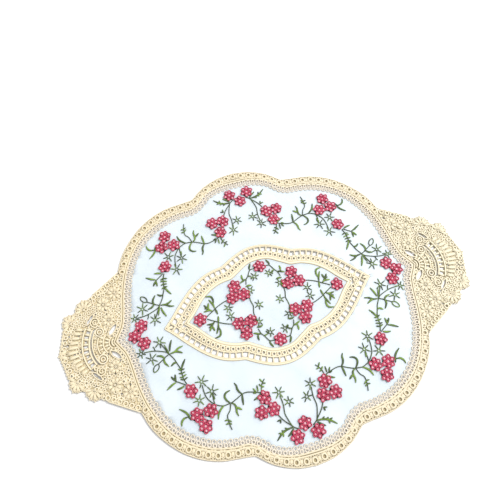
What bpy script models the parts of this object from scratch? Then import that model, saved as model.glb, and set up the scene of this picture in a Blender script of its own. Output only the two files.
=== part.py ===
"""A lace table doily lying flat: sheer panels set in guipure bands, with a guipure wing at each end.

Metres, +Z up. The origin is the middle of the underside, and +X runs along the doily's length.
Run it with: blender --background --python part.py
"""

import math

import bpy
from mathutils import Vector

MM = 0.001

SHEER_THICK = 1.0 * MM
LACE_THICK = 2.0 * MM
SEAM_GAP = 0.3  # mm, between the sheer and the lace round it
WING_SHIFT = 0.4  # mm along X, between the band and a wing

# Outlines, in millimetres. The four quarters of the doily are alike, so each outline is one quarter, from the
# short axis (x = 0) to the long axis (y = 0). Each row is a smooth run, and two rows meet at a notch.
BAND_OUTER = [
    [(0, 151), (18, 148.6), (36, 141.2), (50.5, 130)],
    [(50.5, 130), (62, 128.7), (80, 126.6), (97, 120.7), (113, 110.6), (127, 96.5), (135.8, 83.5), (141.5, 69.5)],
    [(141.5, 69.5), (141.3, 58), (142.6, 46), (145, 33), (149.8, 17), (158, 0)],
]
BAND_INNER = [
    [(0, 131.5), (16, 130.6), (31, 125.6), (42, 116.2), (53, 111.4), (66, 110.6), (84, 106.6), (101, 97.4)]
    + [(114.6, 84), (125, 65), (131, 45), (134.4, 24), (138, 10), (144, 0)],
]
ALMOND_OUTER = [
    [(0, 61.8), (13, 60), (26, 54.6), (37.5, 48.2)],
    [(37.5, 48.2), (50, 46), (62, 41.4), (75, 32.4), (88, 20), (99, 8), (107.3, 0)],
]
ALMOND_INNER = [
    [(0, 45.2), (11, 43.6), (21, 38), (31, 32)],
    [(31, 32), (43, 30.4), (55, 25.4), (65, 17.6), (74, 7.4), (81.5, 0)],
]
# The free edge of the right wing's upper half, from the straight run's end to the tip of its leaf.
WING_EDGE = [
    [(170, 52.4), (177, 49.8), (184, 48), (189, 40.4)],
    [(189, 40.4), (195.5, 37), (201.5, 34.5), (202.6, 22)],
    [(202.6, 22), (205.4, 11), (207.6, 3.4), (209, 0)],
]

# The largest gaps in the lace of the right wing's upper half: centre, length, width (mm) and slope (degrees).
WING_GAPS = [
    ((156, 13), 13, 4.2, -50),
    ((174.4, 25.6), 10, 2.6, -52),
]
# The curved gap round a wing's fan: centre, radius and width (mm), and half of its angle (degrees).
FAN_CENTRE = (160, 0)
FAN_RADIUS = 17.5
FAN_WIDTH = 1.8
FAN_HALF_ANGLE = 46

CREAM = (0.89, 0.72, 0.43, 1)
SHEER_WHITE = (0.85, 0.93, 0.97, 1)

RUN_STEPS = 4  # straight steps between two points of a smooth run
GAP_STEPS = 14  # straight steps round a gap


def clear_scene():
    for thing in list(bpy.data.objects):
        bpy.data.objects.remove(thing)


def smooth(run):
    """Points along a Catmull-Rom curve through a run, without its last point; two points stay a straight line."""
    run = [Vector(point) for point in run]
    if len(run) == 2:
        return run[:1]
    ends = [2 * run[0] - run[1], *run, 2 * run[-1] - run[-2]]
    points = []
    for p0, p1, p2, p3 in zip(ends, ends[1:], ends[2:], ends[3:]):
        for step in range(RUN_STEPS):
            t = step / RUN_STEPS
            cubic = 2 * p0 - 5 * p1 + 4 * p2 - p3 + t * (3 * (p1 - p2) + p3 - p0)
            points.append(p1 + t / 2 * (p2 - p0 + t * cubic))
    return points


def whole_loop(quarter):
    """The closed clockwise outline that a quarter and its mirror images make."""
    first, *rest = quarter
    mirrored = [[(-x, y) for x, y in reversed(run)] for run in quarter]
    across = mirrored[0][:-1] + first
    upper = []
    for run in [*reversed(mirrored[1:]), across, *rest]:
        upper += smooth(run)
    return upper + [-point for point in upper]


def grown(loop, distance):
    """A clockwise outline moved outwards by a distance in mm, or inwards if that is negative."""
    moved = []
    for before, point, after in zip([loop[-1], *loop], loop, [*loop[1:], loop[0]]):
        into = (point - before).normalized()
        out = (after - point).normalized()
        normals = [Vector((-side.y, side.x)) for side in (into, out)]
        moved.append(point + distance * (normals[0] + normals[1]) / (1 + normals[0].dot(normals[1])))
    return moved


def wing_loop():
    """The outline of the right wing: its free edge, and its seam beside the band."""
    shift = Vector((WING_SHIFT, 0))
    seam = [point + shift for point in smooth(BAND_OUTER[2])]
    point_of_band = Vector(BAND_OUTER[2][-1]) + shift
    tip = Vector(WING_EDGE[-1][-1])
    upper = seam[::-1] + [point for run in WING_EDGE for point in smooth(run)]
    lower = [Vector((point.x, -point.y)) for point in reversed(upper)]
    return [point_of_band, *upper, tip, *lower]


def leaf_gap(centre, length, width, slope):
    """A gap with two round sides, as an ellipse turned by its slope in degrees."""
    turn = math.radians(slope)
    points = []
    for step in range(GAP_STEPS):
        angle = math.tau * step / GAP_STEPS
        along, side = length / 2 * math.cos(angle), width / 2 * math.sin(angle)
        across = along * math.cos(turn) - side * math.sin(turn)
        up = along * math.sin(turn) + side * math.cos(turn)
        points.append(Vector(centre) + Vector((across, up)))
    return points


def fan_gap():
    """The curved gap round the fan, as a part of a ring."""
    half = math.radians(FAN_HALF_ANGLE)
    angles = [half * (2 * step / GAP_STEPS - 1) for step in range(GAP_STEPS + 1)]
    inner, outer = FAN_RADIUS - FAN_WIDTH / 2, FAN_RADIUS + FAN_WIDTH / 2
    way = [(outer, angle) for angle in angles] + [(inner, angle) for angle in reversed(angles)]
    return [Vector(FAN_CENTRE) + radius * Vector((math.cos(angle), math.sin(angle))) for radius, angle in way]


def finish(name, colour, roughness):
    material = bpy.data.materials.new(name)
    material.use_nodes = True
    shader = material.node_tree.nodes["Principled BSDF"]
    shader.inputs["Base Color"].default_value = colour
    shader.inputs["Roughness"].default_value = roughness
    return material


def panel(name, loops, thickness, material, parts):
    """A flat piece: a filled 2D curve of the outline and its holes, with its underside on z = 0."""
    curve = bpy.data.curves.new(name, "CURVE")
    curve.dimensions = "2D"
    curve.fill_mode = "BOTH"
    curve.extrude = thickness / 2
    for loop in loops:
        spline = curve.splines.new("POLY")
        spline.points.add(len(loop) - 1)
        spline.use_cyclic_u = True
        for target, point in zip(spline.points, loop):
            target.co = (point.x * MM, point.y * MM, 0, 1)
    curve.materials.append(material)
    piece = bpy.data.objects.new(name, curve)
    piece.location.z = thickness / 2
    parts.objects.link(piece)


def main():
    clear_scene()
    parts = bpy.data.collections.new("lace_doily")
    bpy.context.scene.collection.children.link(parts)
    guipure = finish("guipure cream", CREAM, 0.85)
    sheer = finish("sheer ground", SHEER_WHITE, 0.6)

    band_inner = whole_loop(BAND_INNER)
    almond_outer = whole_loop(ALMOND_OUTER)
    almond_inner = whole_loop(ALMOND_INNER)
    panel("outer_band", [whole_loop(BAND_OUTER), band_inner], LACE_THICK, guipure, parts)
    panel("almond_band", [almond_outer, almond_inner], LACE_THICK, guipure, parts)
    field = [grown(band_inner, -SEAM_GAP), grown(almond_outer, SEAM_GAP)]
    panel("sheer_field", field, SHEER_THICK, sheer, parts)
    panel("sheer_centre", [grown(almond_inner, -SEAM_GAP)], SHEER_THICK, sheer, parts)

    right = [wing_loop(), fan_gap()]
    for (x, y), length, width, slope in WING_GAPS:
        right.append(leaf_gap((x, y), length, width, slope))
        right.append(leaf_gap((x, -y), length, width, -slope))
    panel("wing_right", right, LACE_THICK, guipure, parts)
    panel("wing_left", [[-point for point in loop] for loop in right], LACE_THICK, guipure, parts)


main()
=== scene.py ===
"""The looks of a lace table doily: embroidered organza in guipure bands, with a guipure wing at each end.

Plan sizes are in millimetres, measured from the middle of the doily, with x along its length. Meshes are in
metres. The four quarters of the doily are alike, so most pieces are laid out in one quarter and mirrored.
"""

from __future__ import annotations

import logging
import math
from collections.abc import Callable, Iterable, Sequence
from dataclasses import dataclass
from enum import Enum
from typing import Any

import bpy
import numpy as np
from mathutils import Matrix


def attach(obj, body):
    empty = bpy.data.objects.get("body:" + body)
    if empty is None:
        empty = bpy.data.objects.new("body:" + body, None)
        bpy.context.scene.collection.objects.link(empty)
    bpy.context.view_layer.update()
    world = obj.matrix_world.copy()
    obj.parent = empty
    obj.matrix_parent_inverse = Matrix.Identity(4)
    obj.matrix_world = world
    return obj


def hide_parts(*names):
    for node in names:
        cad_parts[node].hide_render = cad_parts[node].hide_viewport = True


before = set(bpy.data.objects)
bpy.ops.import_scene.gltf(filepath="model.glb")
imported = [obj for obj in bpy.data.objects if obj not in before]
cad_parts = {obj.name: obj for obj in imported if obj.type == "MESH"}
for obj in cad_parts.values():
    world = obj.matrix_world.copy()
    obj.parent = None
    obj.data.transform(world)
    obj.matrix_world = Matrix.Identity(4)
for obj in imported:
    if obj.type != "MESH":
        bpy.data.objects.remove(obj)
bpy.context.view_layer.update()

LOG = logging.getLogger("lace_doily")
MM = 0.001
THREAD_UV = "thread"

Run = list[tuple[float, float]]
Quarter = list[Run]
Spot = tuple[float, float]
Socket = bpy.types.NodeSocket

# Outlines of the pieces, one quarter each. Each row is a smooth run, and two rows meet at a notch.
BAND_OUTER: Quarter = [
    [(0, 151), (18, 148.6), (36, 141.2), (50.5, 130)],
    [(50.5, 130), (62, 128.7), (80, 126.6), (97, 120.7), (113, 110.6), (127, 96.5), (135.8, 83.5)]
    + [(141.5, 69.5)],
    [(141.5, 69.5), (141.3, 58), (142.6, 46), (145, 33), (149.8, 17), (158, 0)],
]
BAND_INNER: Quarter = [
    [(0, 131.5), (16, 130.6), (31, 125.6), (42, 116.2), (53, 111.4), (66, 110.6), (84, 106.6), (101, 97.4)]
    + [(114.6, 84), (125, 65), (131, 45), (134.4, 24), (138, 10), (144, 0)],
]
ALMOND_OUTER: Quarter = [
    [(0, 61.8), (13, 60), (26, 54.6), (37.5, 48.2)],
    [(37.5, 48.2), (50, 46), (62, 41.4), (75, 32.4), (88, 20), (99, 8), (107.3, 0)],
]
ALMOND_INNER: Quarter = [
    [(0, 45.2), (11, 43.6), (21, 38), (31, 32)],
    [(31, 32), (43, 30.4), (55, 25.4), (65, 17.6), (74, 7.4), (81.5, 0)],
]
WING_EDGE: Quarter = [
    [(141.5, 69.5), (170, 52.4)],
    [(170, 52.4), (177, 49.8), (184, 48), (189, 40.4)],
    [(189, 40.4), (195.5, 37), (201.5, 34.5), (202.6, 22)],
    [(202.6, 22), (205.4, 11), (207.6, 3.4), (209, 0)],
]
RUN_STEPS = 10
# How far apart the rows of a honeycomb are, in pitches.
ROW_STEP = 0.866


class Side(Enum):
    """The end of the doily that a wing is on, as the sign of its x."""

    LEFT = -1
    RIGHT = 1


# --------------------------------------------------------------------------- colours and nodes


def linear(colour: str) -> tuple[float, float, float, float]:
    """Turn an sRGB colour, six hex digits after a hash sign, to a linear one with an alpha of 1."""
    parts = [int(colour[i : i + 2], 16) / 255 for i in (1, 3, 5)]
    red, green, blue = (c / 12.92 if c <= 0.04045 else ((c + 0.055) / 1.055) ** 2.4 for c in parts)
    return red, green, blue, 1.0


class Recipe:
    """A material, and the few kinds of node that the finishes are made of."""

    def __init__(self, name: str) -> None:
        """Start the material, with its pattern fixed to places on the object."""
        self.material = bpy.data.materials.new(name)
        self.material.use_nodes = True
        self.tree = self.material.node_tree
        self.shader = self.tree.nodes["Principled BSDF"]
        self.place = self.add("ShaderNodeTexCoord").outputs["Object"]

    def add(self, kind: str, inputs: dict[Any, Any] | None = None, **settings: Any) -> bpy.types.Node:
        """Add a node with its settings and links.

        Args:
            kind: The node's type.
            inputs: Socket name or number to a value, or to another node's output to link.
            settings: Properties of the node.

        Returns:
            The node.
        """
        node = self.tree.nodes.new(kind)
        for name, value in settings.items():
            setattr(node, name, value)
        for name, value in (inputs or {}).items():
            if isinstance(value, Socket):
                self.tree.links.new(value, node.inputs[name])
            else:
                node.inputs[name].default_value = value
        return node

    def attribute(self, name: str) -> Socket:
        """Read one of the mesh's own attributes."""
        return self.add("ShaderNodeAttribute", attribute_name=name).outputs["Fac"]

    def maths(self, operation: str, *values: Socket | float) -> Socket:
        """Work out a sum from values in order."""
        return self.add("ShaderNodeMath", dict(enumerate(values)), operation=operation).outputs[0]

    def mixed(self, share: Socket, first: Socket | str, second: Socket | str) -> Socket:
        """Mix two colours, each in hex or from a node, by the share of the second."""
        both = [linear(colour) if isinstance(colour, str) else colour for colour in (first, second)]
        return self.add("ShaderNodeMix", {0: share, 6: both[0], 7: both[1]}, data_type="RGBA").outputs[2]

    def ranged(self, value: Socket, low: float, high: float, first: float = 0.0, last: float = 1.0) -> Socket:
        """Turn a value between low and high to one between first and last, and hold it there outside them."""
        ends = {"From Min": low, "From Max": high, "To Min": first, "To Max": last}
        return self.add("ShaderNodeMapRange", {"Value": value, **ends}).outputs[0]

    def clouds(self, size: float, detail: float) -> Socket:
        """Soft noise in clouds of about a size in mm."""
        inputs = {"Vector": self.place, "Scale": 1 / (size * MM), "Detail": detail}
        return self.add("ShaderNodeTexNoise", inputs).outputs["Fac"]

    def stripes(self, along: Socket, period: float, bend: float = 0.0, way: str = "X") -> Socket:
        """Soft stripes that repeat every so many mm, bent a little by a fine noise."""
        inputs = {"Vector": along, "Scale": math.tau / (20 * (period * MM)), "Distortion": bend}
        inputs["Detail Scale"] = 2.0
        return self.add("ShaderNodeTexWave", inputs, bands_direction=way).outputs["Fac"]

    def relief(self, height: Socket, strength: float, distance: float) -> None:
        """Emboss the surface by a height, at most so many mm."""
        inputs = {"Height": height, "Strength": strength, "Distance": distance * MM}
        bump = self.add("ShaderNodeBump", inputs)
        self.tree.links.new(bump.outputs["Normal"], self.shader.inputs["Normal"])

    def finished(self, colour: Socket, roughness: float, sheen: float = 0.0) -> bpy.types.Material:
        """Give the shader its colour and gloss, and return the material."""
        self.tree.links.new(colour, self.shader.inputs["Base Color"])
        self.shader.inputs["Roughness"].default_value = roughness
        self.shader.inputs["Sheen Weight"].default_value = sheen
        return self.material


@dataclass(frozen=True)
class ThreadFinish:
    """Mercerised cotton or rayon thread in satin stitch: a soft gloss with a painted highlight on each cord,
    and painted shade where cords meet.

    Each cord has its deep colour as painted shade at its sides, and a painted highlight along its top. Two
    dyes mix from cord to cord.
    """

    name: str
    # Painted shade: the colour at a cord's sides and underside, and in the grooves between stitches.
    deep: str
    body: str
    # Painted highlight along a cord's top.
    painted_highlight: str
    other: str
    other_share: float = 0.6
    # How much of the painted highlight a cord's top takes.
    highlight_share: float = 0.8
    # The dye has faded towards the right end, half a metre away from the richest.
    faded: str | None = None
    # Patches of the other dye, in mm, and how much a cord's own tone shifts them.
    patch_size: float = 22.0
    tone_shift: float = 0.16
    roughness: float = 0.6
    sheen: float = 0.2
    # The real stitches are 0.3 mm apart; they are drawn coarser, so that they show.
    stitch: float = 0.55
    # Share of painted shade in the grooves between stitches, and the depth of their bump in mm.
    groove_shade_share: float = 0.25
    groove_depth: float = 0.12
    fuzz_size: float = 0.35

    def material(self) -> bpy.types.Material:
        """Build the material: dye sets its colour, the height on the cord paints shade at its sides and a
        highlight on its top, ribs paint shade between the stitches, and ribs and fuzz set its bump.
        """
        recipe = Recipe(self.name)
        crown, tone = recipe.attribute("crown"), recipe.attribute("tone")
        dye = recipe.maths("MULTIPLY_ADD", tone, self.tone_shift, recipe.clouds(self.patch_size, 3.0))
        colour = recipe.mixed(recipe.ranged(dye, 0.35, 0.68, 0.0, self.other_share), self.body, self.other)
        if self.faded:
            across = recipe.add("ShaderNodeSeparateXYZ", {0: recipe.place}).outputs["X"]
            colour = recipe.mixed(recipe.ranged(across, -0.15, 0.18, 0.0, 0.85), colour, self.faded)
        # Painted shade: the deep colour where the crown is low, at the cord's sides and underside.
        colour = recipe.mixed(recipe.ranged(crown, 0.1, 0.7), self.deep, colour)
        # Painted highlight along the cord's top.
        colour = recipe.mixed(recipe.ranged(crown, 0.7, 1.0, 0.0, self.highlight_share), colour, self.painted_highlight)
        along = recipe.add("ShaderNodeUVMap", uv_map=THREAD_UV).outputs["UV"]
        rib = recipe.stripes(along, self.stitch, bend=0.6)
        # Painted shade in the grooves between stitches.
        colour = recipe.mixed(recipe.ranged(rib, 0.0, 0.6, self.groove_shade_share, 0.0), colour, self.deep)
        fuzzy = recipe.maths("MULTIPLY_ADD", recipe.clouds(self.fuzz_size, 2.0), 0.5, rib)
        recipe.relief(fuzzy, 0.5, self.groove_depth)
        return recipe.finished(colour, self.roughness, self.sheen)


@dataclass(frozen=True)
class OrganzaFinish:
    """Polyester organza: a stiff, fine open weave that half shows what lies under it, with a faint sheen."""

    name: str = "organza, bluish white"
    colour: str = "#F0F8FC"
    shade: str = "#E8F2F8"
    # How much the weave hides, between its threads and on them.
    cover: tuple[float, float] = (0.36, 0.58)
    # The real threads are 0.25 mm apart; they are drawn coarser, so that the weave shows.
    weave: float = 0.8
    cloud_size: float = 38.0
    ripple_size: float = 16.0
    ripple_depth: float = 1.2

    def material(self) -> bpy.types.Material:
        """Build the material: crossing threads set its opacity, soft clouds its tint and its ripples."""
        recipe = Recipe(self.name)
        warp, weft = (recipe.stripes(recipe.place, self.weave, way=way) for way in "XY")
        cover = recipe.ranged(recipe.maths("MAXIMUM", warp, weft), 0.0, 1.0, *self.cover)
        recipe.tree.links.new(cover, recipe.shader.inputs["Alpha"])
        tint = recipe.ranged(recipe.clouds(self.cloud_size, 2.0), 0.35, 0.65)
        recipe.relief(recipe.clouds(self.ripple_size, 1.0), 0.6, self.ripple_depth)
        return recipe.finished(recipe.mixed(tint, self.colour, self.shade), roughness=0.5, sheen=0.15)


@dataclass(frozen=True)
class FloorFinish:
    """A matt white painted board, plain, with a trace of unevenness so that it isn't a flat colour."""

    name: str = "white board"
    colour: str = "#FDFDFD"
    shade: str = "#F8F8F8"
    cloud_size: float = 1000 / 6

    def material(self) -> bpy.types.Material:
        """Build the material: broad faint clouds between two whites."""
        recipe = Recipe(self.name)
        colour = recipe.mixed(recipe.clouds(self.cloud_size, 2.0), self.colour, self.shade)
        return recipe.finished(colour, roughness=0.9)


# --------------------------------------------------------------------------- outlines


def smooth(run: Sequence[Spot], steps: int = RUN_STEPS) -> np.ndarray:
    """Read a run as a Catmull-Rom curve.

    Args:
        run: The points it passes through.
        steps: Straight steps between two of them.

    Returns:
        Points along the curve, with its last point.
    """
    points = np.array(run, float)
    if len(points) == 2:
        share = np.linspace(0, 1, steps + 1)[:, None]
        return points[0] * (1 - share) + points[1] * share
    ends = np.vstack([2 * points[0] - points[1], points, 2 * points[-1] - points[-2]])
    t = np.linspace(0, 1, steps, endpoint=False)[:, None]
    rows = []
    for a, b, c, d in zip(ends, ends[1:], ends[2:], ends[3:]):
        rows.append(b + t / 2 * (c - a + t * (2 * a - 5 * b + 4 * c - d + t * (3 * (b - c) + d - a))))
    return np.vstack([*rows, points[-1:]])


def open_path(runs: Quarter) -> np.ndarray:
    """Join smooth runs that follow each other into one path."""
    return np.vstack([smooth(run)[:-1] for run in runs] + [np.array(runs[-1][-1:], float)])


def whole_loop(quarter: Quarter) -> np.ndarray:
    """Make the closed clockwise outline of a quarter and its mirror images."""
    first, *rest = quarter
    mirrored = [[(-x, y) for x, y in reversed(run)] for run in quarter]
    across = mirrored[0][:-1] + first
    upper = np.vstack([smooth(run)[:-1] for run in [*reversed(mirrored[1:]), across, *rest]])
    return np.vstack([upper, -upper])


def grown(loop: np.ndarray, distance: float) -> np.ndarray:
    """Move a closed clockwise outline outwards by a distance, or inwards if it is negative."""
    into = loop - np.roll(loop, 1, 0)
    into /= np.linalg.norm(into, axis=1, keepdims=True)
    out = np.roll(into, -1, 0)
    turn = np.stack([-into[:, 1] - out[:, 1], into[:, 0] + out[:, 0]], 1)
    return loop + distance * turn / (1 + (into * out).sum(1, keepdims=True))


def shifted(path: np.ndarray, distance: float) -> np.ndarray:
    """Move an open path to its left by a distance."""
    heading = np.gradient(path, axis=0)
    heading /= np.linalg.norm(heading, axis=1, keepdims=True)
    return path + distance * np.stack([-heading[:, 1], heading[:, 0]], 1)


def evenly(
    path: np.ndarray, pitch: float, closed: bool = True, fourths: bool = False
) -> tuple[np.ndarray, np.ndarray]:
    """Find evenly spaced stations along a path.

    Args:
        path: The path's points.
        pitch: About how far apart the stations are.
        closed: Whether the path is a loop.
        fourths: Whether the count is a multiple of four, so that all quarters are alike.

    Returns:
        The stations, and the heading there in radians.
    """
    line = np.vstack([path, path[:1]]) if closed else path
    steps = np.linalg.norm(np.diff(line, axis=0), axis=1)
    reach = np.concatenate([[0], np.cumsum(steps)])
    share = 4 if fourths else 1
    count = share * max(1, round(reach[-1] / pitch / share))
    at = np.linspace(0, reach[-1], count + 1)
    if closed:
        at = at[:-1]
    spots = np.stack([np.interp(at, reach, line[:, k]) for k in (0, 1)], 1)
    index = np.clip(np.searchsorted(reach, at, side="right") - 1, 0, len(steps) - 1)
    heading = line[index + 1] - line[index]
    return spots, np.arctan2(heading[:, 1], heading[:, 0])


def mirrored(path: np.ndarray, across: int, up: int) -> np.ndarray:
    """Mirror a path by the signs of x and y."""
    return path * np.array([across, up])


def mirrored_turns(turns: np.ndarray, across: int, up: int) -> np.ndarray:
    """Mirror headings by the signs of x and y."""
    return np.arctan2(up * np.sin(turns), across * np.cos(turns))


QUARTERS = [(1, 1), (-1, 1), (1, -1), (-1, -1)]


def waves(x: np.ndarray, y: np.ndarray) -> np.ndarray:
    """Height in mm of the gentle waves in which the cloth lies, at plan places in mm."""
    broad = np.sin(x / 33 + y / 51 + 0.4) + np.sin(y / 27 - x / 61 + 1.3)
    fine = np.sin(x / 11 - y / 17) + np.sin(y / 9 + x / 23)
    return 0.3 * (2 + broad) + 0.06 * (2 + fine)


# --------------------------------------------------------------------------- thread work


@dataclass
class Patch:
    """A bit of mesh in millimetres, with its UV map in metres.

    Crown is 1 along a cord's top, 0 at its sides, and in between on its underside. The thread finishes paint
    shade where it is low and a highlight where it is high.
    """

    points: np.ndarray
    corners: np.ndarray
    sides: np.ndarray
    uv: np.ndarray
    crown: np.ndarray

    def placed(self, spots: np.ndarray, turns: np.ndarray, base: float, sizes: np.ndarray | float) -> Patch:
        """Copy the patch to many places, turned and sized in plan.

        Args:
            spots: The places, one row each.
            turns: The turn of each copy in radians.
            base: Height of the copies' zero.
            sizes: Size of each copy in plan.

        Returns:
            One patch of all the copies.
        """
        count = len(spots)
        sizes = np.broadcast_to(sizes, count)
        cos, sin = np.cos(turns) * sizes, np.sin(turns) * sizes
        x, y, z = self.points.T
        all_x = spots[:, :1] + np.outer(cos, x) - np.outer(sin, y)
        all_y = spots[:, 1:] + np.outer(sin, x) + np.outer(cos, y)
        points = np.stack([all_x, all_y, np.tile(z + base, (count, 1))], 2).reshape(-1, 3)
        offsets = np.arange(count)[:, None] * len(x)
        corners = (self.corners[None] + offsets).ravel()
        uv = np.tile(self.uv, (count, 1))
        return Patch(points, corners, np.tile(self.sides, count), uv, np.tile(self.crown, count))


def crown_of(rise: np.ndarray) -> np.ndarray:
    """The crown at a share of a cord's height, from -1 at its underside to 1 at its top."""
    return np.where(rise > 0, rise, -0.4 * rise)


def read(items: bpy.types.bpy_prop_collection, name: str, width: int = 1, kind: type = float) -> np.ndarray:
    """Read a property of every item of a mesh, one row each if it has more than one number."""
    values = np.zeros(len(items) * width, kind)
    items.foreach_get(name, values)
    return values.reshape(-1, width) if width > 1 else values


def modelled(shape: Callable[[], None], across: float, around: float) -> Patch:
    """Model a small piece with operators, a unit to the millimetre, and read it as a patch.

    Args:
        shape: The function that models it and leaves it active, in object mode.
        across: What one unit of its UV map is along the thread, in metres.
        around: The same, round the thread.

    Returns:
        The patch. The object itself is removed.
    """
    bpy.ops.object.select_all(action="DESELECT")
    shape()
    piece = bpy.context.object
    mesh = piece.data
    points = read(mesh.vertices, "co", 3)
    corners = read(mesh.loops, "vertex_index", kind=np.int64)
    sides = read(mesh.polygons, "loop_total", kind=np.int64)
    uv = read(mesh.uv_layers[0].data, "uv", 2) * (across, around)
    bpy.data.objects.remove(piece)
    return Patch(points, corners, sides, uv, crown_of(2 * points[:, 2] / points[:, 2].max() - 1))


@dataclass(frozen=True)
class Ring:
    """A ring of cord in satin stitch: the radius of its middle line, and its cord's width and height, in mm.

    Stretch is how much longer it is across its row than along it.
    """

    radius: float
    width: float
    height: float
    segments: int = 14
    around: int = 6
    stretch: float = 1.0

    def patch(self) -> Patch:
        """Model the ring as a torus, flattened in edit mode, that stands on z = 0."""

        def shape() -> None:
            bpy.ops.mesh.primitive_torus_add(
                major_segments=self.segments,
                minor_segments=self.around,
                major_radius=self.radius,
                minor_radius=self.width / 2,
                location=(0, 0, 0),
            )
            bpy.ops.object.mode_set(mode="EDIT")
            bpy.ops.mesh.select_all(action="SELECT")
            bpy.ops.transform.resize(value=(1, self.stretch, self.height / self.width))
            bpy.ops.transform.translate(value=(0, 0, self.height / 2))
            bpy.ops.object.mode_set(mode="OBJECT")

        return modelled(shape, math.tau * self.radius * MM, math.pi * self.width * MM)


@dataclass(frozen=True)
class Pad:
    """A low round pad of close stitches, in mm."""

    radius: float
    height: float
    corners: int = 8

    def patch(self) -> Patch:
        """Model the pad: a round face, raised, then inset and raised again in edit mode."""

        def shape() -> None:
            bpy.ops.mesh.primitive_circle_add(
                vertices=self.corners, radius=self.radius, fill_type="NGON", calc_uvs=True
            )
            bpy.ops.object.mode_set(mode="EDIT")
            bpy.ops.mesh.select_all(action="SELECT")
            bpy.ops.mesh.extrude_region_move(TRANSFORM_OT_translate={"value": (0, 0, self.height * 0.6)})
            bpy.ops.mesh.inset(thickness=self.radius * 0.3, depth=self.height * 0.4)
            bpy.ops.mesh.select_all(action="SELECT")
            bpy.ops.mesh.normals_make_consistent(inside=False)
            bpy.ops.object.mode_set(mode="OBJECT")

        return modelled(shape, self.radius * 2 * MM, self.radius * 2 * MM)


def swept(
    path: np.ndarray, width: float, height: float, base: float, closed: bool, taper: np.ndarray, sides: int
) -> Patch:
    """Lay a cord of elliptical section along a path.

    Args:
        path: The path in plan.
        width: The cord's width.
        height: The cord's height.
        base: Height of its underside.
        closed: Whether the path is a loop.
        taper: Share of the full section at each point of the path.
        sides: Flat sides round the section.

    Returns:
        The cord, with capped ends where it is open.
    """
    count = len(path)
    line = np.vstack([path[-1:], path, path[:1]]) if closed else np.vstack([path[:1], path, path[-1:]])
    heading = line[2:] - line[:-2]
    heading /= np.linalg.norm(heading, axis=1, keepdims=True)
    side = np.stack([-heading[:, 1], heading[:, 0]], 1)
    angles = math.tau * np.arange(sides) / sides
    out = np.cos(angles)[None, :, None] * side[:, None, :] * (width / 2 * taper)[:, None, None]
    plan = path[:, None, :] + out
    rise = base + height / 2 * (1 + np.sin(angles)[None, :] * taper[:, None])
    points = np.concatenate([plan, rise[..., None]], 2).reshape(-1, 3)
    steps = np.arange(count if closed else count - 1)
    i, j = (a.ravel() for a in np.meshgrid(steps, np.arange(sides), indexing="ij"))
    after, over = (i + 1) % count, (j + 1) % sides
    quads = np.stack([i * sides + j, i * sides + over, after * sides + over, after * sides + j], 1)
    steps = np.linalg.norm(np.diff(np.vstack([path, path[:1]]), axis=0), axis=1)
    reach = np.concatenate([[0], np.cumsum(steps)]) * MM
    around = math.pi * (width + height) / 2 * MM / sides
    ends = ((i, j), (i, j + 1), (i + 1, j + 1), (i + 1, j))
    uv = np.stack([np.stack([reach[at], turn * around], 1) for at, turn in ends], 1).reshape(-1, 2)
    corners, totals = quads.ravel(), np.full(len(quads), 4)
    if not closed:
        caps = np.concatenate([np.arange(sides)[::-1], (count - 1) * sides + np.arange(sides)])
        corners = np.concatenate([corners, caps])
        totals = np.concatenate([totals, [sides, sides]])
        uv = np.vstack([uv, np.zeros((2 * sides, 2))])
    return Patch(points, corners, totals, uv, np.tile(crown_of(np.sin(angles)), count))


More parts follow.
